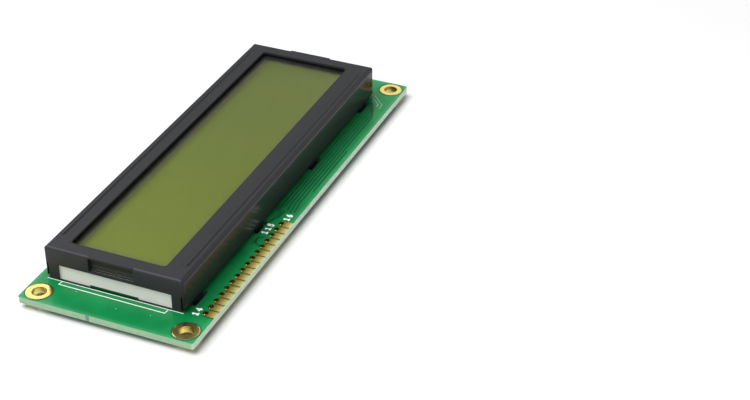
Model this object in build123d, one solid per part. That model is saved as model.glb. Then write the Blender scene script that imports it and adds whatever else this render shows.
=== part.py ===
from build123d import *
import os

# Character LCD module: a glass display cell over a white backlight, held on a circuit board
# by a folded steel bezel whose tabs pass through the board. Millimetres.
# Origin: centre of the four mounting holes, on the board's top face. +Z is the viewing side,
# +X runs along the board, and the header holes lie along the -Y edge.

# Circuit board
BOARD_LENGTH = 122.0
BOARD_WIDTH = 44.0
BOARD_THICKNESS = 1.6
BOARD_CORNER = 0.6
PLATING = 0.05

# Mounting holes and their round pads
MOUNT_INSET = 3.5
MOUNT_HOLE_DIAMETER = 3.5
MOUNT_PAD_RING = 1.35

# Header holes, with pads that run out to the board's edge. From the -X end they are numbered
# downwards to 1, then the last two upwards, which feed the backlight.
HEADER_COUNT = 16
HEADER_PITCH = 2.54
HEADER_FROM_END = 10.9
HEADER_FROM_EDGE = 2.5
HEADER_HOLE_DIAMETER = 1.0
HEADER_PAD_GAP = 0.18
HEADER_PAD_RING = 0.3

# Bezel: one folded sheet. The margins are what it leaves free of the board, before its shift off the
# board's centre. The window, the beads, the end openings and the housing's end slots share a middle
# line that lies MIDDLE_SHIFT_Y off the bezel's own. Bends and corners are given by their inside radius.
END_MARGIN = 8.5
SIDE_MARGIN = 4.3
BEZEL_X = 0.5
BEZEL_Y = 2.35
SHEET = 0.5
END_BEND = 0.1
SIDE_BEND = 0.6
BEZEL_CORNER = 0.2
END_BORDER = 3.5
SIDE_BORDER = 5.6
MIDDLE_SHIFT_Y = 0.55
WINDOW_CORNER = 1.0
FLANGE_DROP = 4.4
SKIRT_LIFT = 0.7
LEG_WIDTH = 3.25
LEG_SLIT = 0.4
END_OPENING_WIDTH = 11.4
END_STRIP = 0.5
RIB_SIDE_INSET = 1.95
RIB_END_INSET = 5.5
RIB_WIDTH = 1.5
RIB_HEIGHT = 0.3
RIB_CHAMFER = 0.25

# Bezel tabs, and the slots in the board that they pass through
TAB_COUNT = 4
TAB_END_INSET = 6.75
TAB_SHIFT_X = -0.5
TAB_WIDTH = 3.0
TAB_REACH = 1.3
TAB_TWIST = 38.0
SLOT_LENGTH = 6.0
SLOT_WIDTH = 1.5
SLOT_OUTWARD = 0.3

# Display cell
GLASS = 1.1
SEAL_GAP = 0.05
SEAL_WIDTH = 1.0
SEAL_INSET = 0.5
POLARIZER = 0.25
POLARIZER_INSET = 0.8
CELL_END_CLEARANCE = 0.75
CELL_SIDE_CLEARANCE = 0.3
PLUG_LENGTH = 4.0
PLUG_HEIGHT = 1.5
PLUG_BULGE = 0.4

# Foam gasket between the cell and the bezel's plate
GASKET = 0.65

# Elastomeric connectors, and the contact fields under them
STRIP_THICKNESS = 2.0
STRIP_CLEARANCE = 0.2
CONTACT_COUNT = 48
CONTACT_SHARE = 0.5

# Backlight
DIFFUSER = 0.6
HOUSING_HEIGHT = 4.0
HOUSING_END_CLEARANCE = 0.1
HOUSING_WALL = 1.2
HOUSING_LEDGE = 1.0
HOUSING_RIM = 1.0
END_SLOT_WIDTH = 12.4
END_SLOT_HEIGHT = 0.4
LIGHT_BOARD = 0.8
LIGHT_BOARD_LIFT = 1.0
LIGHT_BOARD_CLEARANCE = 0.15
LED_COLUMNS = 4
LED_ROWS = 2
LED_ROW_SPACING = 9.0
LED_LENGTH = 3.2
LED_WIDTH = 2.6
LED_HEIGHT = 0.9
LED_MARK = 0.5

# Backlight pins and their solder joints
PIN_DIAMETER = 0.7
PIN_HEAD_DIAMETER = 1.4
PIN_HEAD_HEIGHT = 0.3
PIN_SPACING = 5.08
PIN_INSET = 2.5
PIN_REACH = 1.0
PIN_CLEARANCE = 0.15
SOLDER_DIAMETER = 2.2
SOLDER_TIP_DIAMETER = 1.0
SOLDER_HEIGHT = 0.7

# Components on the underside
CHIP_COVER_DIAMETER = 15.0
CHIP_COVER_HEIGHT = 1.1
CHIP_COVER_SPACING = 46.0
CHIP_COVER_Y = 3.0
RESISTOR_COUNT = 7
CAPACITOR_COUNT = 2
CHIP_PITCH = 3.6
CHIP_ROW_Y = -9.5
CHIP_LENGTH = 2.0
CHIP_WIDTH = 1.25
RESISTOR_HEIGHT = 0.5
CAPACITOR_HEIGHT = 0.65
CHIP_CAP_LENGTH = 0.4
CHIP_CAP_STEP = 0.05

# Heights of the stack, from the board's top face upwards
underside = -BOARD_THICKNESS
diffuser_top = HOUSING_HEIGHT + DIFFUSER
rear_glass_bottom = diffuser_top + POLARIZER
seal_bottom = rear_glass_bottom + GLASS
front_glass_bottom = seal_bottom + SEAL_GAP
front_polarizer_bottom = front_glass_bottom + GLASS
gasket_bottom = front_polarizer_bottom + POLARIZER
plate_underside = gasket_bottom + GASKET
plate_top = plate_underside + SHEET
flange_bottom = plate_top - FLANGE_DROP

# Outlines that follow from the board and the bezel
mount_pad_diameter = MOUNT_HOLE_DIAMETER + 2 * MOUNT_PAD_RING
header_pad_width = HEADER_PITCH - HEADER_PAD_GAP
bezel_length = BOARD_LENGTH - 2 * END_MARGIN
bezel_width = BOARD_WIDTH - 2 * SIDE_MARGIN
window_length = bezel_length - 2 * END_BORDER
window_width = bezel_width - 2 * SIDE_BORDER
rib_length = bezel_length - 2 * RIB_END_INSET
rib_y = bezel_width / 2 - RIB_SIDE_INSET
inner_length = bezel_length - 2 * SHEET
inner_width = bezel_width - 2 * SHEET
cell_length = inner_length - 2 * CELL_END_CLEARANCE
front_glass_width = inner_width - 2 * CELL_SIDE_CLEARANCE
strip_y = front_glass_width / 2 - STRIP_THICKNESS / 2
core_width = front_glass_width - 2 * STRIP_THICKNESS - 2 * STRIP_CLEARANCE
housing_length = inner_length - 2 * HOUSING_END_CLEARANCE
polarizer_length = cell_length - 2 * POLARIZER_INSET
polarizer_width = core_width - 2 * POLARIZER_INSET
light_board_length = housing_length - 2 * HOUSING_WALL - 2 * LIGHT_BOARD_CLEARANCE
light_board_width = core_width - 2 * HOUSING_WALL - 2 * LIGHT_BOARD_CLEARANCE
light_board_top = LIGHT_BOARD_LIFT + LIGHT_BOARD

# Places that several pieces share
bezel_place = Pos(BEZEL_X, BEZEL_Y, 0)
mount_places = list(GridLocations(BOARD_LENGTH - 2 * MOUNT_INSET, BOARD_WIDTH - 2 * MOUNT_INSET, 2, 2))
header_y = -BOARD_WIDTH / 2 + HEADER_FROM_EDGE
header_places = [
    Pos(-BOARD_LENGTH / 2 + HEADER_FROM_END + i * HEADER_PITCH, header_y, 0) for i in range(HEADER_COUNT)
]
header_numbers = [*range(HEADER_COUNT - 2, 0, -1), HEADER_COUNT - 1, HEADER_COUNT]
tab_spacing = (bezel_length - 2 * TAB_END_INSET) / (TAB_COUNT - 1)
tab_places = [
    (bezel_place * Pos(place.position.X + TAB_SHIFT_X, side * (bezel_width - SHEET) / 2, 0), side)
    for side in (-1, 1)
    for place in GridLocations(tab_spacing, 1, TAB_COUNT, 1)
]
pin_x = BEZEL_X + light_board_length / 2 - PIN_INSET
pin_places = [Pos(pin_x, BEZEL_Y + side * PIN_SPACING / 2, 0) for side in (-1, 1)]


def slab(length, width, bottom, top, corner=0.0):
    """A flat plate between two heights, centred on the Z axis."""
    outline = RectangleRounded(length, width, corner) if corner else Rectangle(length, width)
    return Pos(0, 0, bottom) * extrude(outline, top - bottom)


def rod(diameter, bottom, top):
    """A round bar between two heights, on the Z axis."""
    return Pos(0, 0, bottom) * extrude(Circle(diameter / 2), top - bottom)


def frustum(bottom_outline, top_outline, bottom, top):
    """A block whose outline changes evenly from its bottom to its top."""
    return loft([Pos(0, 0, bottom) * bottom_outline, Pos(0, 0, top) * top_outline], ruled=True)


def pcb():
    """The board, with every hole and slot that goes through it."""
    board = slab(BOARD_LENGTH, BOARD_WIDTH, underside, 0, BOARD_CORNER)
    mount_drill = rod(MOUNT_HOLE_DIAMETER + 2 * PLATING, underside, 0)
    header_drill = rod(HEADER_HOLE_DIAMETER + 2 * PLATING, underside, 0)
    pin_drill = rod(PIN_DIAMETER + 2 * PIN_CLEARANCE, underside, 0)
    slot = Pos(0, 0, underside) * extrude(SlotOverall(SLOT_LENGTH, SLOT_WIDTH), BOARD_THICKNESS)
    cuts = [place * mount_drill for place in mount_places]
    cuts += [place * header_drill for place in header_places]
    cuts += [place * pin_drill for place in pin_places]
    cuts += [place * Pos(0, side * SLOT_OUTWARD, 0) * slot for place, side in tab_places]
    return board - cuts


def plated_hole(pad, hole_diameter):
    """A plated barrel through the board that joins a pad on its top face to one on its underside."""
    barrel = rod(hole_diameter + 2 * PLATING, underside, 0)
    top_pad = extrude(pad, PLATING)
    bottom_pad = Pos(0, 0, underside - PLATING) * extrude(pad, PLATING)
    return barrel + top_pad + bottom_pad - rod(hole_diameter, underside - PLATING, PLATING)


def header_pad_outline():
    """A ring round the hole, and a pad as wide as the row allows from there to the board's edge."""
    run_out = Pos(0, -HEADER_FROM_EDGE / 2) * Rectangle(header_pad_width, HEADER_FROM_EDGE)
    return run_out + Circle(HEADER_HOLE_DIAMETER / 2 + HEADER_PAD_RING)


def bezel():
    """The folded sheet: plate, skirts, end flanges, legs, openings, beads and tabs."""
    middle = Pos(0, MIDDLE_SHIFT_Y, 0)
    shell = folded_block(SHEET) + middle * square_edge() - folded_block(0)
    shell -= middle * window_block(plate_underside, plate_top)
    shell -= slab(bezel_length, bezel_width - 2 * LEG_WIDTH, 0, flange_bottom)
    shell -= middle * end_openings()
    shell -= [cut for side in (-1, 1) for cut in foot_cuts(side)]
    shell += [middle * Pos(0, side * rib_y, 0) * rib() for side in (-1, 1)]
    shell -= [middle * Pos(0, side * rib_y, 0) * rib_groove() for side in (-1, 1)]
    return bezel_place * shell + [place * tab(side) for place, side in tab_places]


def folded_block(sheet):
    """The block that the bezel's inner faces enclose, or its outer faces with the sheet added."""
    length = inner_length + 2 * sheet
    width = inner_width + 2 * sheet
    top = plate_underside + sheet
    plain = slab(length, width, 0, top)
    upper = plain.edges().group_by(Axis.Z)[-1]
    ends = fillet(upper.filter_by(Axis.Y), END_BEND + sheet)
    sides = fillet(upper.filter_by(Axis.X), SIDE_BEND + sheet)
    return slab(length, width, 0, top, BEZEL_CORNER + sheet) & ends & sides


def window_block(bottom, top):
    """The window's block between two heights."""
    return slab(window_length, window_width, bottom, top, WINDOW_CORNER)


def square_edge():
    """The plate's own square edge over the end openings, where no bend rounds it."""
    return slab(bezel_length, END_OPENING_WIDTH, plate_underside, plate_top)


def end_openings():
    """The opening in both end flanges: it reaches up to the plate and leaves a narrow strip below."""
    return slab(bezel_length, END_OPENING_WIDTH, flange_bottom + END_STRIP, plate_underside)


def foot_cuts(side):
    """The cuts that lift one long skirt off the board and part it from the corner legs."""
    lift = slab(bezel_length, SHEET + LEG_SLIT, 0, SKIRT_LIFT)
    slit = slab(bezel_length, LEG_SLIT, 0, flange_bottom)
    slit_y = (inner_width - LEG_SLIT) / 2
    return [Pos(0, side * (slit_y + SHEET / 2), 0) * lift, Pos(0, side * slit_y, 0) * slit]


def rib():
    """A bead raised from the plate, with sloping sides."""
    bead = Pos(0, 0, plate_underside) * extrude(SlotOverall(rib_length, RIB_WIDTH), SHEET + RIB_HEIGHT)
    return chamfer(bead.edges().group_by(Axis.Z)[-1], RIB_CHAMFER)


def rib_groove():
    """The hollow that pressing the bead leaves on the plate's underside."""
    outline = SlotOverall(rib_length - SHEET, RIB_WIDTH - SHEET)
    return Pos(0, 0, plate_underside) * extrude(outline, RIB_HEIGHT)


def tab(side):
    """A tab: straight through the board, then turned so that its blade hooks under the slot's edges."""
    neck = slab(TAB_WIDTH, SHEET, underside, SKIRT_LIFT)
    blade = slab(TAB_WIDTH, SHEET, underside - TAB_REACH, underside)
    return neck + Rot(0, 0, side * TAB_TWIST) * blade


def window_gasket():
    """The foam ring between the cell and the plate, flush with the window's edge."""
    ring = slab(polarizer_length, polarizer_width, gasket_bottom, plate_underside)
    return bezel_place * (ring - Pos(0, MIDDLE_SHIFT_Y, 0) * window_block(gasket_bottom, plate_underside))


def front_polarizer():
    """The film that is seen in the window."""
    return bezel_place * slab(polarizer_length, polarizer_width, front_polarizer_bottom, gasket_bottom)


def front_glass():
    """The wider glass: its long edges overhang the rear glass and rest on the connectors."""
    return bezel_place * slab(cell_length, front_glass_width, front_glass_bottom, front_polarizer_bottom)


def cell_seal():
    """The ring that joins the glasses round the liquid crystal."""
    length = cell_length - 2 * SEAL_INSET
    width = core_width - 2 * SEAL_INSET
    ring = slab(length, width, seal_bottom, front_glass_bottom)
    opening = slab(length - 2 * SEAL_WIDTH, width - 2 * SEAL_WIDTH, seal_bottom, front_glass_bottom)
    return bezel_place * (ring - opening)


def cell_fill_plug():
    """The drop of resin that closes the cell's filling port, on the far end of both glasses."""
    drop = extrude(Plane.YZ * SlotOverall(PLUG_LENGTH, PLUG_HEIGHT), PLUG_BULGE)
    return bezel_place * Pos(cell_length / 2, 0, seal_bottom + SEAL_GAP / 2) * drop


def rear_glass():
    """The narrower glass, between the connectors."""
    return bezel_place * slab(cell_length, core_width, rear_glass_bottom, seal_bottom)


def rear_polarizer():
    """The film under the rear glass."""
    return bezel_place * slab(polarizer_length, polarizer_width, diffuser_top, rear_glass_bottom)


def backlight_diffuser():
    """The milky plate that lies on the housing and carries the cell."""
    return bezel_place * slab(cell_length, core_width, HOUSING_HEIGHT, diffuser_top)


def backlight_housing():
    """The white frame: seat for the light board below, flared reflector above, low slot in each end."""
    block = slab(housing_length, core_width, 0, HOUSING_HEIGHT)
    seat_length = light_board_length + 2 * LIGHT_BOARD_CLEARANCE
    seat_width = light_board_width + 2 * LIGHT_BOARD_CLEARANCE
    seat = slab(seat_length, seat_width, 0, light_board_top)
    reflector = frustum(
        Rectangle(seat_length - 2 * HOUSING_LEDGE, seat_width - 2 * HOUSING_LEDGE),
        Rectangle(housing_length - 2 * HOUSING_RIM, core_width - 2 * HOUSING_RIM),
        light_board_top,
        HOUSING_HEIGHT,
    )
    end_slot = Pos(0, MIDDLE_SHIFT_Y, 0) * slab(housing_length, END_SLOT_WIDTH, 0, END_SLOT_HEIGHT)
    return bezel_place * (block - seat - reflector - end_slot)


def backlight_board():
    """The board that carries the light sources, under the housing's ledge."""
    board = bezel_place * slab(light_board_length, light_board_width, LIGHT_BOARD_LIFT, light_board_top)
    drill = rod(PIN_DIAMETER + 2 * PIN_CLEARANCE, LIGHT_BOARD_LIFT, light_board_top)
    return board - [place * drill for place in pin_places]


def led():
    """One light source: a block with one corner cut off to mark its cathode."""
    block = slab(LED_LENGTH, LED_WIDTH, light_board_top, light_board_top + LED_HEIGHT)
    return chamfer(block.edges().filter_by(Axis.Z)[0], LED_MARK)


def zebra_strip(side):
    """An elastomeric connector, from the board's contacts to the overhanging edge of the front glass."""
    strip = slab(cell_length, STRIP_THICKNESS, PLATING, front_glass_bottom)
    return bezel_place * Pos(0, side * strip_y, 0) * strip


def display_contacts(side):
    """The row of plated contacts on the board, under one connector."""
    pitch = cell_length / CONTACT_COUNT
    contact = slab(pitch * CONTACT_SHARE, STRIP_THICKNESS, 0, PLATING)
    row = GridLocations(pitch, 1, CONTACT_COUNT, 1)
    return Compound([bezel_place * Pos(0, side * strip_y, 0) * place * contact for place in row])


def backlight_pin():
    """A pin with a head on the light board, through both boards."""
    shank = rod(PIN_DIAMETER, underside - PIN_REACH, light_board_top)
    return shank + rod(PIN_HEAD_DIAMETER, light_board_top, light_board_top + PIN_HEAD_HEIGHT)


def pin_solder():
    """The cone of solder round a pin, on the underside."""
    wide = Circle(SOLDER_DIAMETER / 2)
    narrow = Circle(SOLDER_TIP_DIAMETER / 2)
    cone = frustum(narrow, wide, underside - SOLDER_HEIGHT, underside)
    return cone - rod(PIN_DIAMETER, underside - SOLDER_HEIGHT, underside)


def chip_cover():
    """A low resin dome over a bare chip, on the underside."""
    radius = CHIP_COVER_DIAMETER / 2
    ball_radius = (radius**2 + CHIP_COVER_HEIGHT**2) / (2 * CHIP_COVER_HEIGHT)
    middle = (0, underside)
    rim = (radius, underside)
    crown = (0, underside - CHIP_COVER_HEIGHT)
    half_section = make_face([Line(middle, rim), RadiusArc(rim, crown, ball_radius), Line(crown, middle)])
    return revolve(Plane.XZ * half_section, Axis.Z)


def chip_part(height):
    """A chip resistor or capacitor: a ceramic body between two slightly thicker end caps."""
    body = slab(CHIP_LENGTH - 2 * CHIP_CAP_LENGTH, CHIP_WIDTH, underside - height, underside)
    cap = slab(CHIP_CAP_LENGTH, CHIP_WIDTH, underside - height - CHIP_CAP_STEP, underside)
    offset = (CHIP_LENGTH - CHIP_CAP_LENGTH) / 2
    return body + [Pos(side * offset, 0, 0) * cap for side in (-1, 1)]


def nodes():
    """Every piece of the module under its name."""
    made = {
        "pcb": pcb(),
        "bezel": bezel(),
        "window_gasket": window_gasket(),
        "front_polarizer": front_polarizer(),
        "front_glass": front_glass(),
        "cell_seal": cell_seal(),
        "cell_fill_plug": cell_fill_plug(),
        "rear_glass": rear_glass(),
        "rear_polarizer": rear_polarizer(),
        "backlight_diffuser": backlight_diffuser(),
        "backlight_housing": backlight_housing(),
        "backlight_board": backlight_board(),
        "zebra_strip_header_side": zebra_strip(-1),
        "zebra_strip_far_side": zebra_strip(1),
        "display_contacts_header_side": display_contacts(-1),
        "display_contacts_far_side": display_contacts(1),
    }
    mount_plating = plated_hole(Circle(mount_pad_diameter / 2), MOUNT_HOLE_DIAMETER)
    for number, place in enumerate(mount_places, 1):
        made[f"mounting_hole_plating_{number}"] = place * mount_plating
    header_plating = plated_hole(header_pad_outline(), HEADER_HOLE_DIAMETER)
    for number, place in zip(header_numbers, header_places):
        made[f"header_pad_{number:02d}"] = place * header_plating
    led_grid = GridLocations(light_board_length / LED_COLUMNS, LED_ROW_SPACING, LED_COLUMNS, LED_ROWS)
    for number, place in enumerate(led_grid, 1):
        made[f"led_{number}"] = bezel_place * place * led()
    for name, place in zip(("cathode", "anode"), pin_places):
        made[f"backlight_pin_{name}"] = place * backlight_pin()
        made[f"pin_solder_{name}"] = place * pin_solder()
    for number, side in enumerate((-1, 1), 1):
        made[f"chip_cover_{number}"] = Pos(side * CHIP_COVER_SPACING / 2, CHIP_COVER_Y, 0) * chip_cover()
    names = [f"resistor_{i + 1}" for i in range(RESISTOR_COUNT)]
    names += [f"capacitor_{i + 1}" for i in range(CAPACITOR_COUNT)]
    for number, name in enumerate(names):
        height = RESISTOR_HEIGHT if name.startswith("resistor") else CAPACITOR_HEIGHT
        place = Pos((number - (len(names) - 1) / 2) * CHIP_PITCH, CHIP_ROW_Y, 0)
        made[name] = place * Rot(0, 0, 90) * chip_part(height)
    return made


os.makedirs("parts", exist_ok=True)
for name, shape in nodes().items():
    export_step(shape, f"parts/{name}.step")
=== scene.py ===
import math

import bmesh
import bpy
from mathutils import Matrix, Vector


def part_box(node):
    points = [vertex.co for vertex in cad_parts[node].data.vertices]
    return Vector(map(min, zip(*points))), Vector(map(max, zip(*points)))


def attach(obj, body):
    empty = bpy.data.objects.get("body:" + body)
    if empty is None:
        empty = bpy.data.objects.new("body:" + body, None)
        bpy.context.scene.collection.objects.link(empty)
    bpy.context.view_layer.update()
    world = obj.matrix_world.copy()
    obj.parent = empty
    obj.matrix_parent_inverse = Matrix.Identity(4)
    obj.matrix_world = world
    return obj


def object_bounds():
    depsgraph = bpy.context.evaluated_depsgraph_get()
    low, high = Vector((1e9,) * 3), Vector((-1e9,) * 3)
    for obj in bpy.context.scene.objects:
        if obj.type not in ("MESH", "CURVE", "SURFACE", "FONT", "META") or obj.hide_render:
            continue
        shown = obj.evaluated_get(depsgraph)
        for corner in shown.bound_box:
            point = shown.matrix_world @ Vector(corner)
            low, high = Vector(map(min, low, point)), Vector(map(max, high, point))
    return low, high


# Looks for the character LCD module. Blender's unit is the metre, and MM turns millimetres into it.
# The frame is the part's own: board's top face at z = 0, +Z the viewing side, header holes along -Y.
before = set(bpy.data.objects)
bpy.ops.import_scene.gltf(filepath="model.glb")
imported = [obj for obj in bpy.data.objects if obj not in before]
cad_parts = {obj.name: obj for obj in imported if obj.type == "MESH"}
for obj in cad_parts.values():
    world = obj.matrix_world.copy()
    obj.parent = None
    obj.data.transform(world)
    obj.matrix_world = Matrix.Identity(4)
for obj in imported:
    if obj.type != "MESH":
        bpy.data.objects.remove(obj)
cad_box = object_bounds()

MM = 0.001

# Camera, fitted to the photograph's board corners, mounting holes and header row
CAMERA_PLACE = Vector((-304.06, -167.27, 219.89)) * MM
CAMERA_LOOK = Vector((0.7709, 0.3269, -0.5467))
CAMERA_LENS = 79.96
SENSOR_WIDTH = 36.0
CLIP_START = 0.01

# Studio: a white floor, a wide softbox overhead, a small card lamp behind, and soft glows in the
# surroundings, each with its azimuth and elevation in degrees, its sharpness and its strength
FLOOR_SIZE = 3.0
FLOOR_WHITE = 0.78
FLOOR_ROUGHNESS = 0.2
AMBIENT = 0.12
KEY_PLACE = (-0.25, 0.45, 1.2)
KEY_SIZE = 1.2
KEY_POWER = 26.5
CARD_PLACE = (0.606, 0.789, 0.671)
CARD_SIZE = 0.53
CARD_POWER = 1.3
GLOWS = (
    (21.0, 27.5, 400.0, 1.7),
    (8.0, 40.0, 60.0, 0.9),
    (180.0, 15.0, 2.5, 0.78),
    (-35.0, 18.0, 12.0, 0.9),
)

# Board faces and the bezel's outline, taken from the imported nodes, in millimetres
board_low, board_high = (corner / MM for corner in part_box("pcb"))
bezel_low, bezel_high = (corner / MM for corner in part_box("bezel"))
TOP = board_high.z
UNDERSIDE = board_low.z
MID_BOARD = (TOP + UNDERSIDE) / 2

# Display, in millimetres: the bezel's window, the outline of the crystal, the area inside its hazy border,
# that border's width, the stretch along Y where it is painted pale as light against the wall's shadow, the
# dark border of the cell, and the glass borders painted dark as shade
WINDOW = ((-48.5, 49.5), (-9.2, 15.0))
CRYSTAL = ((-49.6, 50.9), (-10.4, 16.2))
VIEW_AREA = ((-45.8, 50.0), (-8.2, 15.4))
VIEW_HAZE = 2.0
WALL_PAINTED_LIGHT = (14.0, 15.0)
CELL_DARK = 0.4
SHADED_MARGIN = 0.35

# Board, in millimetres: how far the pale rim and the pale corners reach in, how far a cut edge's colour
# reaches in before the holes' walls are painted dark as shade, and the place and the width of a dark mark on
# the -X end
RIM_WIDTH = 1.1
CORNER_PALE = (3.0, 12.0)
CUT_DEPTH = 0.3
EDGE_MARK = 4.1
EDGE_MARK_WIDTH = 0.9

# Gold: the soft rims of the pads and their relief in millimetres, the header pads' round ends and where
# their rim starts past the hole row, and the dull and the bright tone of the rings and of the header pads,
# with a painted highlight at a pad's tip and painted shade along its sides
PAD_RIM = 0.25
RIM_DEPTH = 0.12
SIDE_DROP = 0.3
DROOP_DEPTH = 0.2
HOLE_END = 0.8
RIM_START = 0.01
RING_GOLD = ((0.84, 0.68, 0.18), (0.94, 0.8, 0.3))
PAD_GOLD = ((0.48, 0.38, 0.05), (0.6, 0.5, 0.09))
TIP_HIGHLIGHT_GOLD = (1.0, 0.9, 0.38)
SIDE_SHADE_GOLD = (0.3, 0.21, 0.05)

# Printed and etched layers, in millimetres: their thicknesses, the small steps that part strokes which
# cross, and the widths of their lines, with the numbers of steps in their arcs
SILK_THICKNESS = 0.02
SILK_WIDTH = 0.19
LEVELS = 3
LEVEL_STEP = 0.003
FOOT_LINE_WIDTH = 0.15
GAP_THICKNESS = 0.012
GAP_WIDTH = 0.4
PAD_GAP_WIDTH = 0.16
EDGE_MARGIN = 0.1
TRACE_THICKNESS = 0.03
OVER_TRACES = TRACE_THICKNESS + SILK_THICKNESS
TRACE_WIDTH = 0.28
SUPPLY_WIDTH = 1.0
ROUND_STEPS = 6
RING_STEPS = 48
VIA_STEPS = 16
DIGIT_STEPS = 8

# Pin numbers on the top face: text, place of the first digit, and pitch of the digits
DIGIT_HEIGHT = 1.3
DIGIT_WIDTH = 0.9
DIGIT_STROKE = 0.38
PIN_NUMBERS = (
    ("14", -51.15, -17.4, 1.65),
    ("1", -16.9, -17.4, 0),
    ("15", -15.2, -17.4, 1.65),
    ("16", -9.9, -19.75, 1.6),
)

# White lines printed along the bezel's ends, and the bracket beside one of them
FOOT_LINE_GAP = 0.2
FOOT_LINE_ENDS = (-14.9, 19.6)
BRACKET = ((-52.3, 15.75), (-53.45, 16.0), (-53.65, -11.1), (-52.3, -11.3))

# Painted shade: a dark strip of board at the backlight's foot; and bare rings round the mounting pads
FOOT_SHADE_ENDS = (-13.6, 18.2)
FOOT_SHADE_MARGIN = 0.05
RING_GAP = 0.03
RING_GAP_WIDTH = 0.24

# Gaps etched between the traces beside the header: long lanes along the bezel's foot, bends at the pin
# numbers, the traces in the far corner, and specks in the mask
LANE_GAPS = (
    ((-6.6, -15.6), (-5.2, -16.2), (47.3, -16.2), (48.2, -15.6)),
    ((-5.9, -16.3), (-4.4, -17.05), (46.4, -17.05), (49.6, -15.7)),
    ((-6.4, -18.3), (-3.2, -17.9), (45.2, -17.9), (49.4, -16.4)),
    ((-6.9, -19.3), (-2.6, -18.75), (43.9, -18.75), (49.0, -17.0)),
    ((-6.5, -20.2), (-2.0, -19.6), (42.0, -19.6), (47.2, -17.9)),
    ((3.6, -20.5), (24.0, -20.45)),
)
PIN_GAPS = (
    ((-7.0, -15.8), (-7.9, -17.3), (-10.1, -17.0), (-12.6, -16.5)),
    ((-6.4, -16.1), (-7.3, -17.9), (-10.3, -17.6)),
    ((-20.7, -17.2), (-21.7, -17.4), (-22.4, -18.6)),
    ((-18.8, -18.2), (-19.4, -17.1), (-22.0, -16.7)),
)
FAR_TRACES = (
    ((52.9, -15.9), (51.2, -17.5), (49.0, -19.5), (46.9, -19.7)),
    ((51.7, -15.8), (50.4, -17.1), (48.9, -18.5), (47.6, -18.7)),
)
MASK_SPECKS = ((-56.4, -0.5), (-54.3, 10.9), (-55.6, -8.7), (20.5, -21.2))
SPECK_RADIUS = 0.08

# Underside: fans of traces from the chip covers to rows of vias
FAN_COUNT = 24
FAN_PITCH = 0.8
FAN_ANGLES = (150.0, 30.0)
FAN_BEND = 12.0
FAN_TOP = 16.8
VIA_RADIUS = 0.36
VIA_HOLE = 0.16

# Underside: the bus between the covers, and the traces from the header to the first cover
BUS_COUNT = 8
BUS_PITCH = 0.8
HEADER_FIRST = 4
HEADER_TRACES = 9
HEADER_BEND_Y = -13.2
HEADER_FAN_Y = -8.0
HEADER_FAN_PITCH = 1.1
HEADER_FAN_SHIFT = -1.6

# Underside: traces of the chip row, and the two wide ones that feed the backlight
ROW_STEP = 0.7
ROW_LOW = -3.6
ROW_JOIN = -11.6
SUPPLY_TRACES = (
    ((48.55, -1.2), (48.55, -11.2), (47.75, -12.0), (-9.3, -12.0), (-11.3, -14.0), (-11.3, -16.4),
     (-12.3, -17.4), (-13.6, -17.4), (-14.3, -18.1)),
    ((49.3, 4.9), (50.6, 3.6), (50.6, -11.3), (48.5, -13.4), (-9.1, -13.4), (-9.7, -14.0),
     (-9.7, -17.2), (-10.9, -18.4)),
)

# Underside: solder fillets, resin that ran out round the covers, and printed outlines
CHIP_BODY_SHARE = 0.6
FILLET = ((0.0, 0.8), (0.12, 0.42), (0.28, 0.16), (0.5, 0.05))
RESIN_GAP = 0.012
RESIN_FOOT = 0.45
RESIN_WOBBLE = 0.12
RESIN_FOOT_HEIGHT = 0.12
COVER_PRINT = 1.2
CHIP_PRINT = (1.05, 1.7)


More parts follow.
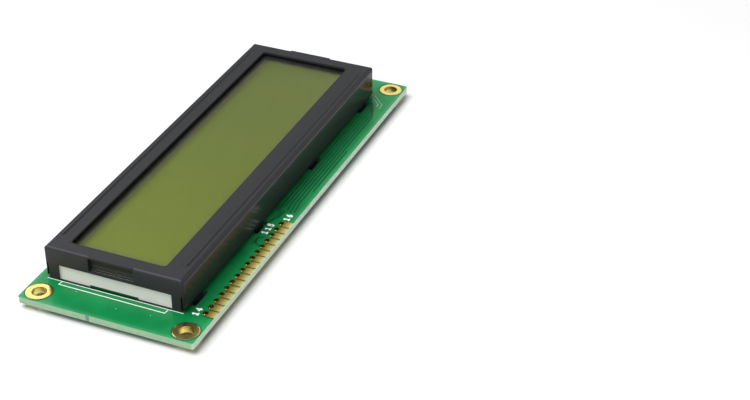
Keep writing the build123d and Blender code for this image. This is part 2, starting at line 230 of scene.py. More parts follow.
class Look:
    """A material made of nodes: its Principled shader, and short ways to feed that shader."""

    def __init__(self, name, colour, roughness, **sockets):
        self.material = bpy.data.materials.new(name)
        self.material.use_nodes = True
        self.tree = self.material.node_tree
        self.shader = self.tree.nodes["Principled BSDF"]
        self.output = self.tree.nodes["Material Output"]
        self.place = self.add("ShaderNodeTexCoord").outputs["Object"]
        self.set("Base Color", (*colour, 1.0))
        self.set("Roughness", roughness)
        for socket, value in sockets.items():
            self.set(socket.replace("_", " "), value)

    def add(self, kind, **settings):
        """A new node with its properties set."""
        node = self.tree.nodes.new(kind)
        for key, value in settings.items():
            setattr(node, key, value)
        return node

    def feed(self, socket, value):
        """Gives an input socket either a constant or another node's output."""
        if isinstance(value, bpy.types.NodeSocket):
            self.tree.links.new(value, socket)
        else:
            socket.default_value = value

    def set(self, name, value):
        """Gives one of the shader's sockets a constant or an output."""
        self.feed(self.shader.inputs[name], value)

    def stretched(self, factors):
        """The object's coordinates, scaled along each axis."""
        node = self.add("ShaderNodeMapping")
        self.feed(node.inputs["Vector"], self.place)
        node.inputs["Scale"].default_value = factors
        return node.outputs["Vector"]

    def noise(self, size, detail=2.0, stretch=(1, 1, 1)):
        """Noise with features about as large as size, in millimetres."""
        node = self.add("ShaderNodeTexNoise")
        self.feed(node.inputs["Vector"], self.stretched(stretch))
        node.inputs["Scale"].default_value = 1 / (size * MM)
        node.inputs["Detail"].default_value = detail
        return node.outputs["Fac"]

    def bands(self, period, axis):
        """Soft stripes across one axis, with a period in millimetres. The wave turns 20 radians a unit."""
        node = self.add("ShaderNodeTexWave", wave_type="BANDS", bands_direction=axis)
        self.feed(node.inputs["Vector"], self.place)
        node.inputs["Scale"].default_value = 2 * math.pi / (20 * period * MM)
        return node.outputs["Fac"]

    def maths(self, operation, first, second=0.0):
        """One arithmetic step."""
        node = self.add("ShaderNodeMath", operation=operation)
        self.feed(node.inputs[0], first)
        self.feed(node.inputs[1], second)
        return node.outputs[0]

    def span(self, value, from_low, from_high, to_low=0.0, to_high=1.0):
        """A value moved from one span to another, and held at its ends."""
        node = self.add("ShaderNodeMapRange")
        for name, number in (
            ("Value", value),
            ("From Min", from_low),
            ("From Max", from_high),
            ("To Min", to_low),
            ("To Max", to_high),
        ):
            self.feed(node.inputs[name], number)
        return node.outputs["Result"]

    def blend(self, share, first, second):
        """A colour between two others."""
        node = self.add("ShaderNodeMix", data_type="RGBA")
        self.feed(node.inputs["Factor"], share)
        for name, colour in (("A", first), ("B", second)):
            socket = next(s for s in node.inputs if s.name == name and s.type == "RGBA")
            self.feed(socket, colour if isinstance(colour, bpy.types.NodeSocket) else (*colour, 1.0))
        return next(s for s in node.outputs if s.type == "RGBA")

    def facing(self, axis):
        """How much the surface faces along an axis, from 0 to 1, either way round."""
        split = self.add("ShaderNodeSeparateXYZ")
        self.feed(split.inputs[0], self.add("ShaderNodeTexCoord").outputs["Normal"])
        return self.maths("ABSOLUTE", split.outputs[axis])

    def flat(self):
        """1 on faces that lie flat, 0 on upright ones."""
        return self.span(self.facing("Z"), 0.4, 0.6)

    def along(self, axis):
        """The object coordinate along one axis, in millimetres."""
        split = self.add("ShaderNodeSeparateXYZ")
        self.feed(split.inputs[0], self.place)
        return self.maths("DIVIDE", split.outputs[axis], MM)

    def inside(self, spans):
        """How far a point lies inside a rectangle on the board, in millimetres, negative outside it."""
        distances = []
        for axis, (low, high) in zip("XY", spans):
            place = self.along(axis)
            distances += [self.maths("SUBTRACT", place, low), self.maths("SUBTRACT", high, place)]
        nearest = distances.pop()
        for distance in distances:
            nearest = self.maths("MINIMUM", distance, nearest)
        return nearest

    def bump(self, height, depth, strength=1.0):
        """Relief in the shader's normal, up to depth millimetres."""
        node = self.add("ShaderNodeBump")
        self.feed(node.inputs["Height"], height)
        node.inputs["Distance"].default_value = depth * MM
        node.inputs["Strength"].default_value = strength
        before = self.shader.inputs["Normal"]
        if before.is_linked:
            self.feed(node.inputs["Normal"], before.links[0].from_socket)
        self.feed(before, node.outputs["Normal"])

    def soft_edges(self, radius):
        """Shades the sharp edges as if rounded, with a radius in millimetres."""
        node = self.add("ShaderNodeBevel", samples=4)
        node.inputs["Radius"].default_value = radius * MM
        self.feed(self.shader.inputs["Normal"], node.outputs["Normal"])


def solder_mask():
    """The circuit board: green mask on both faces, and bare laminate where it is cut."""
    look = Look("board_green", (0.01, 0.2, 0.06), 0.3, Specular_IOR_Level=0.3)
    weave = look.maths("MULTIPLY", look.bands(0.5, "X"), look.bands(0.5, "Y"))
    edge = look.inside(((board_low.x, board_high.x), (board_low.y, board_high.y)))
    flat = look.flat()
    look.set("Base Color", look.blend(flat, cut_laminate(look, edge), mask_faces(look, weave, edge)))
    look.set("Roughness", look.span(flat, 0.0, 1.0, 0.55, 0.24))
    look.bump(look.noise(0.4, 3.0), 0.003, 0.3)
    look.bump(weave, 0.002, 0.3)
    return look.material


def mask_faces(look, weave, edge):
    """Mask over a copper pour on top, over laminate below, and paler towards the edges and corners."""
    cloud = look.span(look.noise(9.0), 0.35, 0.65)
    over_copper = look.blend(cloud, (0.0015, 0.17, 0.042), (0.004, 0.215, 0.06))
    over_laminate = look.blend(cloud, (0.003, 0.12, 0.036), (0.006, 0.15, 0.046))
    upper = look.maths("GREATER_THAN", look.along("Z"), MID_BOARD)
    green = look.blend(upper, over_laminate, over_copper)
    green = look.blend(look.span(weave, 0.0, 1.0, 0.0, 0.06), green, (0.02, 0.34, 0.12))
    green = look.blend(look.span(edge, 0.0, RIM_WIDTH, 0.3, 0.0), green, (0.09, 0.43, 0.2))
    off_ends = look.maths("SUBTRACT", board_high.x, look.maths("ABSOLUTE", look.along("X")))
    off_sides = look.maths("SUBTRACT", board_high.y, look.maths("ABSOLUTE", look.along("Y")))
    corner = look.span(look.maths("ADD", off_ends, off_sides), *CORNER_PALE, 0.32, 0.0)
    return look.blend(corner, green, (0.05, 0.37, 0.16))


def cut_laminate(look, edge):
    """Glass fibre and resin: paler on the long edges, marked on one end, and painted dark as shade inside the
    holes.
    """
    fibre = look.span(look.noise(0.25, 3.0, (0.12, 0.12, 1.0)), 0.3, 0.7)
    resin = look.blend(fibre, (0.28, 0.46, 0.29), (0.35, 0.54, 0.35))
    long_edge_tone = look.blend(fibre, (0.7, 0.92, 0.69), (0.8, 0.97, 0.77))
    resin = look.blend(look.facing("Y"), resin, long_edge_tone)
    off_mark = look.maths("ABSOLUTE", look.maths("SUBTRACT", look.along("Y"), EDGE_MARK))
    mark = look.maths("LESS_THAN", off_mark, EDGE_MARK_WIDTH / 2)
    mark = look.maths("MULTIPLY", mark, look.maths("LESS_THAN", look.along("X"), board_low.x + CUT_DEPTH))
    resin = look.blend(look.maths("MULTIPLY", mark, 0.7), resin, (0.06, 0.17, 0.16))
    # Painted shade: faces deeper in than CUT_DEPTH, the walls of holes and slots, are dark green
    return look.blend(look.maths("GREATER_THAN", edge, CUT_DEPTH), resin, (0.04, 0.15, 0.075))


def bare_mask(name, share):
    """The darker green of mask with no copper under it, or, as painted shade, in a gap that no light reaches.
    """
    look = Look(name, (0.002, 0.05, 0.018), 0.3, Specular_IOR_Level=0.3)
    tones = [tuple(c * share for c in colour) for colour in ((0.001, 0.036, 0.012), (0.002, 0.06, 0.022))]
    look.set("Base Color", look.blend(look.noise(2.0), *tones))
    look.bump(look.noise(0.3), 0.004, 0.3)
    return look.material


def trace_mask():
    """The lighter green of mask over a copper trace."""
    look = Look("trace_mask", (0.01, 0.3, 0.09), 0.28)
    look.set("Base Color", look.blend(look.noise(1.5, 3.0), (0.004, 0.25, 0.07), (0.015, 0.34, 0.11)))
    look.bump(look.noise(0.25, 3.0), 0.005, 0.5)
    return look.material


def painted_sheen_trace():
    """Mask over the wide traces in the far corner, painted pale as a highlight where the light catches their
    edges.
    """
    look = Look("painted_sheen_trace", (0.15, 0.42, 0.22), 0.3)
    look.set("Base Color", look.blend(look.noise(1.2), (0.1, 0.34, 0.17), (0.2, 0.5, 0.28)))
    look.bump(look.noise(0.3), 0.004, 0.3)
    return look.material


def white_ink():
    """Silkscreen ink: matt, slightly uneven, and greener where it is thin."""
    look = Look("white_ink", (0.85, 0.88, 0.84), 0.6)
    thin = look.span(look.noise(0.12, 3.0), 0.3, 0.5)
    look.set("Base Color", look.blend(thin, (0.75, 0.88, 0.78), (0.94, 0.96, 0.93)))
    look.bump(look.noise(0.08), 0.005, 0.6)
    return look.material


def black_paint():
    """Semi-gloss black on pressed steel: finely textured, smoother on the two long walls."""
    look = Look("bezel_black", (0.025, 0.026, 0.028), 0.3, Specular_IOR_Level=0.24)
    look.soft_edges(0.12)
    patch = look.noise(6.0, 3.0)
    paint = look.blend(patch, (0.023, 0.024, 0.026), (0.028, 0.028, 0.031))
    dust = look.span(look.noise(0.35), 0.76, 0.82)
    look.set("Base Color", look.blend(dust, paint, (0.12, 0.13, 0.14)))
    rough = look.span(patch, 0.3, 0.7, 0.4, 0.46)
    rough = look.maths("MULTIPLY", rough, look.span(look.facing("Y"), 0.3, 0.9, 1.0, 0.5))
    cut_edge = look.maths("GREATER_THAN", look.inside(WINDOW), -CUT_DEPTH)
    look.set("Roughness", look.maths("MAXIMUM", rough, look.maths("MULTIPLY", cut_edge, 0.85)))
    look.bump(look.noise(0.12), 0.002, 0.3)
    look.bump(look.noise(0.5), 0.004, 0.2)
    return look.material


def foam():
    """Black gasket foam with fine pores."""
    look = Look("gasket_foam", (0.004, 0.005, 0.004), 0.9, Specular_IOR_Level=0.1)
    pores = look.noise(0.12, 3.0)
    look.set("Base Color", look.blend(pores, (0.002, 0.003, 0.002), (0.006, 0.007, 0.006)))
    look.bump(pores, 0.006, 0.3)
    return look.material


def gold(name, roughness, dull, bright, reliefs=(), tones=()):
    """Soft gold plating between two colours, with reliefs from 0 to 1 and tones, such as painted highlight
    and shade, laid over it by place.
    """
    look = Look(name, bright, roughness, Metallic=1.0)
    cloud = look.noise(1.2)
    plating = look.blend(cloud, dull, bright)
    look.bump(cloud, 0.02, 0.3)
    for make, depth in reliefs:
        look.bump(make(look), depth)
    for make, tone in tones:
        plating = look.blend(make(look), plating, tone)
    look.set("Base Color", plating)
    look.set("Roughness", look.span(look.noise(2.0), 0.3, 0.7, roughness * 0.95, roughness * 1.05))
    return look.material


def squared(look, value):
    """A value times itself."""
    return look.maths("MULTIPLY", value, value)


def off_pad(look):
    """How far a point lies beside the middle line of its header pad, in millimetres, with its sign."""
    pads = pad_row()
    pitch = pads[1] - pads[0]
    turns = look.maths("DIVIDE", look.maths("SUBTRACT", look.along("X"), pads[0] - pitch / 2), pitch)
    return look.maths("MULTIPLY", look.maths("SUBTRACT", look.maths("FRACT", turns), 0.5), pitch)


def header_rim(look):
    """1 over most of each header pad, falling to 0 round its hole's end."""
    up = look.maths("MAXIMUM", look.maths("SUBTRACT", look.along("Y"), hole_row()), 0.0)
    reach = look.maths("SQRT", look.maths("ADD", squared(look, off_pad(look)), squared(look, up)))
    end = look.span(reach, HOLE_END - PAD_RIM, HOLE_END, 1.0, 0.0)
    return look.maths("MAXIMUM", end, look.maths("LESS_THAN", up, RIM_START))


def header_side_shade(look):
    """Share of painted shade: 0 over most of each header pad, rising to 1 along its two sides."""
    half_width = half_size_of("header_pad_01")[0]
    return look.span(look.maths("ABSOLUTE", off_pad(look)), half_width - PAD_RIM, half_width)


def hole_row():
    """The header holes' place along Y, in millimetres."""
    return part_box("header_pad_01")[1].y / MM - HOLE_END


def header_tip(look):
    """0 at the header holes, rising ever steeper to 1 at the board's edge."""
    return squared(look, look.span(look.along("Y"), board_low.y, hole_row(), 1.0, 0.0))


def header_droop(look):
    """The height of a header pad, from 1 at its hole to 0 at the board's edge."""
    return look.maths("SUBTRACT", 1.0, header_tip(look))


def round_rim(look):
    """1 over most of each round mounting pad, falling at its outer edge."""
    node = named("mounting_hole_plating")[0]
    radius = half_size_of(node)[0]
    parts = []
    for axis, value in zip("XY", middle_of(node)):
        off = look.maths("SUBTRACT", look.maths("ABSOLUTE", look.along(axis)), abs(value))
        parts.append(squared(look, off))
    reach = look.maths("SQRT", look.maths("ADD", *parts))
    return look.span(reach, radius - PAD_RIM, radius, 1.0, 1.0 - SIDE_DROP)


def clear_film(name, node, tint, sheen, roughness):
    """A clear layer whose borders and upright ends are painted dark, as shade. Only its upper face mirrors,
    as laminated films do.
    """
    look = Look(name, tint, roughness)
    clear = look.add("ShaderNodeBsdfTransparent")
    clear.inputs["Color"].default_value = (*tint, 1.0)
    gloss = look.add("ShaderNodeBsdfGlossy")
    uneven = look.span(look.noise(3.0), 0.3, 0.7, roughness * 0.9, roughness * 1.1)
    look.feed(gloss.inputs["Roughness"], uneven)
    slant = look.add("ShaderNodeLayerWeight")
    slant.inputs["Blend"].default_value = 0.5
    grazing = look.maths("POWER", slant.outputs["Facing"], 5.0)
    mirrored = look.span(grazing, 0.0, 1.0, sheen, 1.0)
    low, high = (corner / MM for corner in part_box(node))
    upper = look.maths("GREATER_THAN", look.along("Z"), (low.z + high.z) / 2)
    mix = look.add("ShaderNodeMixShader")
    look.feed(mix.inputs["Fac"], look.maths("MULTIPLY", mirrored, upper))
    look.feed(mix.inputs[1], clear.outputs["BSDF"])
    look.feed(mix.inputs[2], gloss.outputs["BSDF"])
    # Painted shade: the layer's upright ends and a margin round its border are dull dark grey
    ends = look.add("ShaderNodeBsdfDiffuse")
    look.feed(ends.inputs["Color"], look.blend(look.noise(0.3), (0.03, 0.033, 0.024), (0.06, 0.064, 0.05)))
    whole = look.add("ShaderNodeMixShader")
    inner = look.maths("GREATER_THAN", look.inside(((low.x, high.x), (low.y, high.y))), SHADED_MARGIN)
    look.feed(whole.inputs["Fac"], look.maths("MULTIPLY", look.flat(), inner))
    look.feed(whole.inputs[1], ends.outputs["BSDF"])
    look.feed(whole.inputs[2], mix.outputs["Shader"])
    look.feed(look.output.inputs["Surface"], whole.outputs["Shader"])
    look.tree.nodes.remove(look.shader)
    return look.material


def crystal_layer():
    """The rear glass: yellow-green under the window, greyer towards its border, and dark outside it. Painted
    shade and reflection turn its far end darker and bluer, painted light pales its border along the +Y wall,
    and painted shade darkens its edges.
    """
    look = Look("crystal_layer", (0.18, 0.22, 0.03), 0.5)
    # Painted shade and reflection: the field turns darker and bluer towards the far end
    painted_far_fade = look.span(look.along("X"), *WINDOW[0])
    field = look.blend(painted_far_fade, (0.136, 0.17, 0.006), (0.09, 0.115, 0.022))
    grain = look.span(look.noise(0.3), 0.3, 0.7, 0.0, 0.08)
    field = look.blend(grain, field, (0.2, 0.25, 0.06))
    # Painted light: the hazy border turns pale along the +Y wall, against the wall's shadow
    haze = look.blend(look.span(look.along("Y"), *WALL_PAINTED_LIGHT), (0.098, 0.102, 0.07), (0.32, 0.33, 0.26))
    field = look.blend(look.span(look.inside(VIEW_AREA), 0.0, VIEW_HAZE, 0.9, 0.0), field, haze)
    dark = look.blend(look.noise(0.5), (0.012, 0.014, 0.01), (0.022, 0.024, 0.017))
    field = look.blend(look.span(look.inside(CRYSTAL), -CELL_DARK, 0.0), dark, field)
    # Painted shade: the upright edges of the glass are dark
    edge = look.blend(look.noise(0.5), (0.02, 0.023, 0.016), (0.045, 0.048, 0.036))
    look.set("Base Color", look.blend(look.flat(), edge, field))
    return look.material


def white_plastic(name, colour, roughness, edge_colour=None):
    """Moulded plastic with faint flow marks, and another colour on its upright faces where one is given."""
    look = Look(name, colour, roughness)
    pale = tuple(min(1.0, c * 1.05) for c in colour)
    dull = tuple(c * 0.93 for c in colour)
    body = look.blend(look.noise(4.0, 3.0), dull, pale)
    look.set("Base Color", look.blend(look.flat(), edge_colour, body) if edge_colour else body)
    look.bump(look.noise(0.2), 0.01, 0.3)
    return look.material


def layered_rubber():
    """An elastomeric connector: thin dark conducting layers between grey ones."""
    look = Look("strip_rubber", (0.3, 0.24, 0.25), 0.7)
    layers = look.span(look.bands(0.25, "X"), 0.3, 0.7)
    look.set("Base Color", look.blend(layers, (0.02, 0.02, 0.02), (0.3, 0.22, 0.23)))
    look.bump(look.noise(0.3), 0.01, 0.4)
    return look.material


def black_resin():
    """Cured chip cover: smooth black with flow marks and a few pits."""
    look = Look("resin_black", (0.02, 0.02, 0.022), 0.35)
    flow = look.noise(2.5, 3.0)
    look.set("Base Color", look.blend(flow, (0.012, 0.012, 0.014), (0.03, 0.03, 0.032)))
    look.set("Roughness", look.span(flow, 0.3, 0.7, 0.25, 0.5))
    look.bump(flow, 0.08, 0.4)
    look.bump(look.noise(0.15), 0.01, 0.3)
    return look.material


def tinned():
    """Bright solder, a little frosted."""
    look = Look("solder", (0.75, 0.75, 0.77), 0.28, Metallic=1.0)
    look.set("Base Color", look.blend(look.noise(0.3, 3.0), (0.62, 0.62, 0.64), (0.85, 0.85, 0.86)))
    look.set("Roughness", look.span(look.noise(0.2, 3.0), 0.3, 0.7, 0.2, 0.4))
    look.bump(look.noise(0.15, 3.0), 0.01, 0.4)
    return look.material


def chip_look(name, colour):
    """A chip part: ceramic body between tinned ends, told apart by the distance from its middle."""
    look = Look(name, colour, 0.4)
    reach = look.maths("ABSOLUTE", look.maths("SUBTRACT", look.along("Y"), middle_of(name)[1]))
    end = look.maths("GREATER_THAN", reach, half_size_of(name)[1] * CHIP_BODY_SHARE)
    grain = look.noise(0.1, 3.0)
    body = look.blend(grain, tuple(c * 0.85 for c in colour), tuple(c * 1.1 for c in colour))
    look.set("Base Color", look.blend(end, body, (0.72, 0.72, 0.74)))
    look.set("Metallic", end)
    look.set("Roughness", look.span(grain, 0.3, 0.7, 0.3, 0.45))
    return look.material


def dress(material, *names):
    """Puts one material on every node whose name is given, or starts with a given name and an underscore."""
    for node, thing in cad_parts.items():
        if any(node == name or node.startswith(name + "_") for name in names):
            thing.data.materials.clear()
            thing.data.materials.append(material)


def outline(path, width):
    """The closed outline of a stroke of even width, mitred at its corners and round at its ends."""
    points = [Vector(point) for point in path]
    runs = [(b - a).normalized() for a, b in zip(points, points[1:])]
    sides = [Vector((-run.y, run.x)) for run in runs]
    half = width / 2

    def cap(centre, side, run):
        turns = [math.pi * step / ROUND_STEPS for step in range(ROUND_STEPS + 1)]
        return [centre + half * (math.cos(turn) * side + math.sin(turn) * run) for turn in turns]

    corners = []
    for before, after, point in zip(sides, sides[1:], points[1:-1]):
        middle = (before + after).normalized()
        corners.append((point, middle * (half / middle.dot(before))))
    there = [point + offset for point, offset in corners]
    back = [point - offset for point, offset in reversed(corners)]
    return [*there, *cap(points[-1], sides[-1], runs[-1]), *back, *cap(points[0], -sides[0], -runs[0])]


def arc(centre, radius, first, last, steps=DIGIT_STEPS):
    """Points on an arc, with its angles in degrees."""
    turns = [math.radians(first + (last - first) * i / steps) for i in range(steps + 1)]
    return [(centre[0] + radius * math.cos(t), centre[1] + radius * math.sin(t)) for t in turns]


def circle(centre, radius, steps=RING_STEPS):
    """The points of a full circle, each once."""
    return arc(centre, radius, 0, 360, steps)[:-1]


def outward(face):
    """The direction away from the board: up on its top face, down on its underside."""
    return 1 if face == TOP else -1


def loop_at(mesh, loop, height):
    """The vertices of an outline at a height, both in millimetres."""
    return [mesh.verts.new((x * MM, y * MM, height * MM)) for x, y in loop]


def join(mesh, near, far):
    """The faces between two matching closed loops of vertices."""
    for i in range(len(near)):
        after = (i + 1) % len(near)
        mesh.faces.new((near[i], near[after], far[after], far[i]))


def prism(mesh, near, far):
    """A closed solid between two matching loops of vertices."""
    mesh.faces.new(near)
    mesh.faces.new(far)
    join(mesh, near, far)


def plate(mesh, loop, face, thickness):
    """A flat layer with one outline, on one of the board's faces."""
    prism(mesh, loop_at(mesh, loop, face), loop_at(mesh, loop, face + outward(face) * thickness))


def band(mesh, inner, outer, face, thickness):
    """A flat layer between two matching outlines, on one of the board's faces."""
    far = face + outward(face) * thickness
    inner_low, inner_high = loop_at(mesh, inner, face), loop_at(mesh, inner, far)
    outer_low, outer_high = loop_at(mesh, outer, face), loop_at(mesh, outer, far)
    join(mesh, inner_low, inner_high)
    join(mesh, outer_low, outer_high)
    join(mesh, inner_low, outer_low)
    join(mesh, inner_high, outer_high)


def ring(mesh, centre, inner, outer, face, thickness, steps=RING_STEPS):
    """A flat round ring on one of the board's faces."""
    band(mesh, circle(centre, inner, steps), circle(centre, outer, steps), face, thickness)


def piece(name, mesh, material):
    """Makes a piece of the object out of a bmesh, riding on the part's one body."""
    bmesh.ops.recalc_face_normals(mesh, faces=mesh.faces)
    data = bpy.data.meshes.new(name)
    mesh.to_mesh(data)
    mesh.free()
    data.materials.append(material)
    thing = bpy.data.objects.new(name, data)
    bpy.context.scene.collection.objects.link(thing)
    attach(thing, "root")


def strokes(name, paths, width, face, thickness, material):
    """A piece made of flat strokes on one of the board's faces, those that cross at different levels."""
    mesh = bmesh.new()
    for i, path in enumerate(paths):
        plate(mesh, outline(path, width), face, thickness + i % LEVELS * LEVEL_STEP)
    piece(name, mesh, material)


# Digits as a plotter would draw them, in a cell one unit wide and one unit high
DIGITS = {
    "1": [[(0.5, 1.0), (0.5, 0.0)], [(0.15, 0.8), (0.5, 1.0)], [(0.15, 0.0), (0.85, 0.0)]],
    "4": [[(0.7, 0.0), (0.7, 1.0)], [(0.7, 1.0), (0.05, 0.3)], [(0.05, 0.3), (1.0, 0.3)]],
    "5": [[(0.85, 1.0), (0.2, 1.0)], [(0.2, 1.0), (0.15, 0.6)], arc((0.45, 0.32), 0.38, 140, -150)],
    "6": [arc((0.9, 0.3), 0.78, 110, 175), arc((0.5, 0.32), 0.36, 0, 180), arc((0.5, 0.32), 0.36, 180, 360)],
}


def number(text, x, y, pitch):
    """The strokes of a number whose first digit is centred at a point in millimetres."""
    paths = []
    for i, digit in enumerate(text):
        left = x + i * pitch - DIGIT_WIDTH / 2
        bottom = y - DIGIT_HEIGHT / 2
        for path in DIGITS[digit]:
            paths.append([(left + u * DIGIT_WIDTH, bottom + v * DIGIT_HEIGHT) for u, v in path])
    return paths


def middle_of(node):
    """A node's middle on the board, in millimetres."""
    low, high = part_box(node)
    return (low.x + high.x) / (2 * MM), (low.y + high.y) / (2 * MM)


def half_size_of(node):
    """Half of a node's size along X and Y, in millimetres."""
    low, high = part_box(node)
    return (high.x - low.x) / (2 * MM), (high.y - low.y) / (2 * MM)


def named(start):
    """The nodes whose names start with some words, in order."""
    return sorted(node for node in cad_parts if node.startswith(start))


def pad_row():
    """The header pads' middles along X, in order."""
    return sorted(middle_of(node)[0] for node in named("header_pad"))


def chips():
    """The nodes of the chip row on the underside."""
    return [*named("resistor"), *named("capacitor")]


def chip_row():
    """The middles of the chips on the underside, in order."""
    return sorted(middle_of(node) for node in chips())


def top_print(ink):
    """Everything printed on the top face, with a few specks in the mask."""
    digits = [path for text, x, y, pitch in PIN_NUMBERS for path in number(text, x, y, pitch)]
    strokes("pin_numbers", digits, DIGIT_STROKE, TOP, SILK_THICKNESS, ink)
    ends = (bezel_low.x - FOOT_LINE_GAP, bezel_high.x + FOOT_LINE_GAP)
    lines = [[(x, y) for y in FOOT_LINE_ENDS] for x in ends]
    strokes("foot_lines", lines, FOOT_LINE_WIDTH, TOP, SILK_THICKNESS, ink)
    strokes("end_bracket", [BRACKET], SILK_WIDTH, TOP, SILK_THICKNESS, ink)
    mesh = bmesh.new()
    for place in MASK_SPECKS:
        plate(mesh, circle(place, SPECK_RADIUS, VIA_STEPS), TOP, GAP_THICKNESS)
    piece("mask_specks", mesh, ink)


def rectangle(x_low, x_high, y_low, y_high):
    """The corners of a rectangle."""
    return [(x_low, y_low), (x_high, y_low), (x_high, y_high), (x_low, y_high)]


def top_gaps(bare, shadow):
    """Where no copper lies under the mask on the top face, between the lanes; and painted shade at the
    backlight's foot.
    """
    strokes("lane_gaps", [*LANE_GAPS, *PIN_GAPS], GAP_WIDTH, TOP, GAP_THICKNESS, bare)
    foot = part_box("backlight_housing")[0].x / MM - FOOT_SHADE_MARGIN
    mesh = bmesh.new()
    # Painted shade: a very dark strip of board where the backlight's foot shades it
    plate(mesh, rectangle(bezel_low.x, foot, *FOOT_SHADE_ENDS), TOP, GAP_THICKNESS)
    piece("foot_shade_strip", mesh, shadow)


def pad_gaps(bare, ring_mask):
    """Bare mask round the mounting pads and between the header pads, on both faces."""
    for face, side in ((TOP, "top"), (UNDERSIDE, "underside")):
        mesh = bmesh.new()
        for node in named("mounting_hole_plating"):
            inner = half_size_of(node)[0] + RING_GAP
            ring(mesh, middle_of(node), inner, inner + RING_GAP_WIDTH, face, GAP_THICKNESS)
        piece(f"ring_gaps_{side}", mesh, ring_mask)
        pads = pad_row()
        half_pitch = (pads[1] - pads[0]) / 2
        outer_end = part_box("header_pad_01")[0].y / MM + EDGE_MARGIN
        mesh = bmesh.new()
        for x in [pads[0] - half_pitch, *(pad + half_pitch for pad in pads)]:
            sides = (x - PAD_GAP_WIDTH / 2, x + PAD_GAP_WIDTH / 2)
            plate(mesh, rectangle(*sides, outer_end, hole_row()), face, GAP_THICKNESS)
        piece(f"pad_gaps_{side}", mesh, bare)


def across_circle(radius, offset):
    """Half of a circle's chord that lies at some distance from its centre."""
    return math.sqrt(radius**2 - offset**2)


def cover_fans(centre, radius):
    """Traces from a chip cover's rim up to a row, where each ends in a via."""
    rims = arc(centre, radius, *FAN_ANGLES, FAN_COUNT - 1)
    paths = []
    for k in range(FAN_COUNT):
        x = centre[0] + (k - (FAN_COUNT - 1) / 2) * FAN_PITCH
        paths.append([rims[k], (x, FAN_BEND), (x, FAN_TOP)])
    return paths


def bus(left, right, radius):
    """Level traces between the two chip covers."""
    paths = []
    for k in range(BUS_COUNT):
        rise = (k - (BUS_COUNT - 1) / 2) * BUS_PITCH
        reach = across_circle(radius, rise)
        paths.append([(left[0] + reach, left[1] + rise), (right[0] - reach, right[1] + rise)])
    return paths


def header_traces(cover, radius):
    """Traces from the header's middle pads to the lower side of the first chip cover."""
    pads = pad_row()
    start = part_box("header_pad_01")[1].y / MM
    paths = []
    for k in range(HEADER_TRACES):
        pad = pads[HEADER_FIRST + k]
        x = cover[0] + HEADER_FAN_SHIFT + (k - (HEADER_TRACES - 1) / 2) * HEADER_FAN_PITCH
        rim = cover[1] - across_circle(radius, x - cover[0])
        paths.append([(pad, start), (pad, HEADER_BEND_Y), (x, HEADER_FAN_Y), (x, rim)])
    return paths


def middle_via():
    """Where the trace of the middle chip ends: above the levels of the others, which come in pairs."""
    row = chip_row()
    pairs = len(row) // 2
    return row[pairs][0], ROW_LOW + pairs * ROW_STEP


def row_traces(covers, radius):
    """Traces from the row of chips to the covers, nested, and the middle one to a via."""
    row = chip_row()
    reach_out = half_size_of("resistor_1")[1] + FILLET[-1][0]
    top, low = row[0][1] + reach_out, row[0][1] - reach_out
    paths = []
    for k in range(len(row) // 2):
        level = ROW_LOW + k * ROW_STEP
        reach = across_circle(radius, covers[0][1] - level)
        for x, target in ((row[k][0], covers[0][0] + reach), (row[-1 - k][0], covers[1][0] - reach)):
            paths.append([(x, top), (x, level), (target, level)])
    via = middle_via()
    paths.append([(via[0], top), via])
    paths += [[(x, low), (x, ROW_JOIN)] for x, y in row]
    paths.append([(row[0][0], ROW_JOIN), (row[-1][0], ROW_JOIN)])
    return paths


def underside_traces(over_trace):
    """Every trace on the underside, with the vias at their ends."""
    covers = [middle_of(node) for node in named("chip_cover")]
    radius = half_size_of("chip_cover_1")[0]
    fans = [path for cover in covers for path in cover_fans(cover, radius)]
    rows = row_traces(covers, radius)
    narrow = [*fans, *bus(*covers, radius), *header_traces(covers[0], radius), *rows]
    strokes("underside_traces", narrow, TRACE_WIDTH, UNDERSIDE, TRACE_THICKNESS, over_trace)
    strokes("supply_traces", SUPPLY_TRACES, SUPPLY_WIDTH, UNDERSIDE, TRACE_THICKNESS, over_trace)
    mesh = bmesh.new()
    for place in [*(path[-1] for path in fans), middle_via()]:
        ring(mesh, place, VIA_HOLE, VIA_RADIUS, UNDERSIDE, OVER_TRACES, VIA_STEPS)
    piece("vias", mesh, over_trace)


def fillets(solder):
    """Solder at both ends of every chip, hollow as it runs out onto its pad."""
    for node in chips():
        half_x, half_y = half_size_of(node)
        x, y = middle_of(node)
        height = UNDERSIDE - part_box(node)[0].z / MM
        mesh = bmesh.new()
        for side in (-1, 1):
            face = y + side * half_y
            slope = [(face + side * out, UNDERSIDE - height * share) for out, share in FILLET]
            profile = [(face, UNDERSIDE), *slope, (slope[-1][0], UNDERSIDE)]
            near = [mesh.verts.new(((x - half_x) * MM, v * MM, z * MM)) for v, z in profile]
            far = [mesh.verts.new(((x + half_x) * MM, v * MM, z * MM)) for v, z in profile]
            prism(mesh, near, far)
        piece(f"solder_{node}", mesh, solder)


def resin_feet(resin):
    """The thin uneven rim of resin that ran out round each chip cover."""
    for node in named("chip_cover"):
        centre = middle_of(node)
        radius = half_size_of(node)[0]
        mesh = bmesh.new()
        inner = circle(centre, radius + RESIN_GAP)
        outer = []
        for i in range(RING_STEPS):
            turn = 2 * math.pi * i / RING_STEPS
            wobble = RESIN_WOBBLE * (math.sin(3 * turn + 1) + 0.6 * math.sin(5 * turn))
            reach = radius + RESIN_FOOT + wobble
            outer.append((centre[0] + reach * math.cos(turn), centre[1] + reach * math.sin(turn)))
        band(mesh, inner, outer, UNDERSIDE, RESIN_FOOT_HEIGHT)
        piece(f"resin_foot_{node}", mesh, resin)


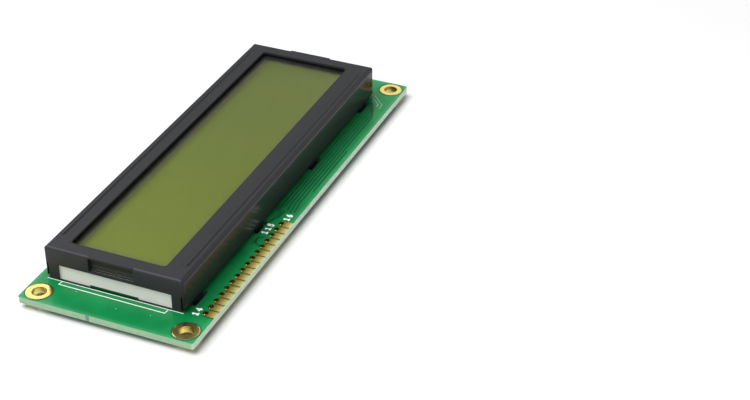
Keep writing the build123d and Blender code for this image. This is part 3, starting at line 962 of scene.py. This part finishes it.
def underside_print(ink):
    """White rings round the chip covers, and white lines on both sides of the chips."""
    mesh = bmesh.new()
    for node in named("chip_cover"):
        inner = half_size_of(node)[0] + COVER_PRINT
        ring(mesh, middle_of(node), inner, inner + SILK_WIDTH, UNDERSIDE, OVER_TRACES)
    piece("cover_rings", mesh, ink)
    half_x, half_y = CHIP_PRINT
    lines = []
    for node in chips():
        x, y = middle_of(node)
        for side in (-1, 1):
            lines.append([(x + side * half_x, y - half_y), (x + side * half_x, y + half_y)])
    strokes("chip_outlines", lines, FOOT_LINE_WIDTH, UNDERSIDE, SILK_THICKNESS, ink)


def build_scene():
    """Every material and every piece of the object."""
    ink = white_ink()
    bare = bare_mask("bare_mask", 1.4)
    dress(solder_mask(), "pcb")
    dress(black_paint(), "bezel")
    dress(foam(), "window_gasket")
    header_reliefs = ((header_rim, RIM_DEPTH), (header_droop, DROOP_DEPTH))
    # Painted highlight at the header pads' tips, and painted shade along their sides
    header_painted_light = ((header_tip, TIP_HIGHLIGHT_GOLD), (header_side_shade, SIDE_SHADE_GOLD))
    dress(gold("gold_header", 0.27, *PAD_GOLD, header_reliefs, header_painted_light), "header_pad")
    dress(gold("gold_rings", 0.19, *RING_GOLD, ((round_rim, RIM_DEPTH),)), "mounting_hole_plating")
    dress(gold("gold_plating", 0.28, *RING_GOLD), "display_contacts")
    dress(clear_film("polarizer_film", "front_polarizer", (0.97, 0.97, 0.83), 0.02, 0.5), "front_polarizer")
    dress(clear_film("cell_glass", "front_glass", (0.96, 0.98, 0.95), 0.005, 0.1), "front_glass")
    dress(crystal_layer(), "rear_glass")
    dress(white_plastic("cell_resin", (0.1, 0.1, 0.075), 0.4), "cell_seal", "cell_fill_plug")
    dress(white_plastic("rear_film", (0.05, 0.055, 0.035), 0.4, (0.05, 0.053, 0.04)), "rear_polarizer")
    dress(white_plastic("diffuser_plate", (0.3, 0.32, 0.24), 0.5, (0.03, 0.032, 0.026)), "backlight_diffuser")
    dress(white_plastic("housing_white", (0.91, 0.88, 0.85), 0.45), "backlight_housing")
    dress(white_plastic("light_board", (0.78, 0.78, 0.7), 0.5), "backlight_board")
    dress(white_plastic("led_body", (0.9, 0.9, 0.82), 0.4), "led")
    dress(layered_rubber(), "zebra_strip")
    resin = black_resin()
    dress(resin, "chip_cover")
    solder = tinned()
    dress(solder, "pin_solder", "backlight_pin")
    for kind, colour in (("resistor", (0.03, 0.03, 0.034)), ("capacitor", (0.42, 0.3, 0.18))):
        for node in named(kind):
            dress(chip_look(node, colour), node)
    top_print(ink)
    top_gaps(bare, bare_mask("foot_shadow", 0.12))
    pad_gaps(bare, bare_mask("ring_mask", 2.2))
    strokes("far_traces", FAR_TRACES, TRACE_WIDTH, TOP, TRACE_THICKNESS, painted_sheen_trace())
    underside_traces(trace_mask())
    underside_print(ink)
    fillets(solder)
    resin_feet(resin)


def floor():
    """The plain pale floor that the part lies on."""
    mesh = bmesh.new()
    bmesh.ops.create_grid(mesh, x_segments=1, y_segments=1, size=FLOOR_SIZE / 2)
    data = bpy.data.meshes.new("floor")
    mesh.to_mesh(data)
    mesh.free()
    thing = bpy.data.objects.new("floor", data)
    thing.location.z = cad_box[0][2]
    data.materials.append(Look("floor_white", (FLOOR_WHITE,) * 3, FLOOR_ROUGHNESS).material)
    bpy.context.scene.collection.objects.link(thing)


def surroundings():
    """An even white room with a few soft glows in it."""
    world = bpy.data.worlds.new("studio")
    bpy.context.scene.world = world
    world.use_nodes = True
    tree = world.node_tree
    direction = tree.nodes.new("ShaderNodeTexCoord").outputs["Generated"]

    def step(operation, first, second):
        node = tree.nodes.new("ShaderNodeMath")
        node.operation = operation
        for socket, value in zip(node.inputs, (first, second)):
            if isinstance(value, bpy.types.NodeSocket):
                tree.links.new(value, socket)
            else:
                socket.default_value = value
        return node.outputs[0]

    total = AMBIENT
    for azimuth, elevation, sharpness, strength in GLOWS:
        turn, rise = math.radians(azimuth), math.radians(elevation)
        aim = (math.cos(turn) * math.cos(rise), math.sin(turn) * math.cos(rise), math.sin(rise))
        towards = tree.nodes.new("ShaderNodeVectorMath")
        towards.operation = "DOT_PRODUCT"
        tree.links.new(direction, towards.inputs[0])
        towards.inputs[1].default_value = aim
        lobe = step("POWER", step("MAXIMUM", towards.outputs["Value"], 0.0), sharpness)
        total = step("ADD", step("MULTIPLY", lobe, strength), total)
    background = tree.nodes["Background"]
    background.inputs["Color"].default_value = (1.0, 1.0, 1.0, 1.0)
    tree.links.new(total, background.inputs["Strength"])


def softbox(name, place, size, power):
    """A large square lamp that looks at the part's origin."""
    lamp = bpy.data.lights.new(name, "AREA")
    lamp.shape = "SQUARE"
    lamp.size = size
    lamp.energy = power
    thing = bpy.data.objects.new(name, lamp)
    thing.location = place
    thing.rotation_euler = (-Vector(place)).to_track_quat("-Z", "Y").to_euler()
    bpy.context.scene.collection.objects.link(thing)


def camera():
    """The photograph's view."""
    data = bpy.data.cameras.new("camera")
    data.lens = CAMERA_LENS
    data.sensor_width = SENSOR_WIDTH
    data.clip_start = CLIP_START
    thing = bpy.data.objects.new("camera", data)
    thing.location = CAMERA_PLACE
    thing.rotation_euler = CAMERA_LOOK.to_track_quat("-Z", "Y").to_euler()
    bpy.context.scene.collection.objects.link(thing)
    bpy.context.scene.camera = thing
    bpy.context.scene.view_settings.view_transform = "Standard"


build_scene()
floor()
surroundings()
softbox("key", KEY_PLACE, KEY_SIZE, KEY_POWER)
softbox("card", CARD_PLACE, CARD_SIZE, CARD_POWER)
camera()
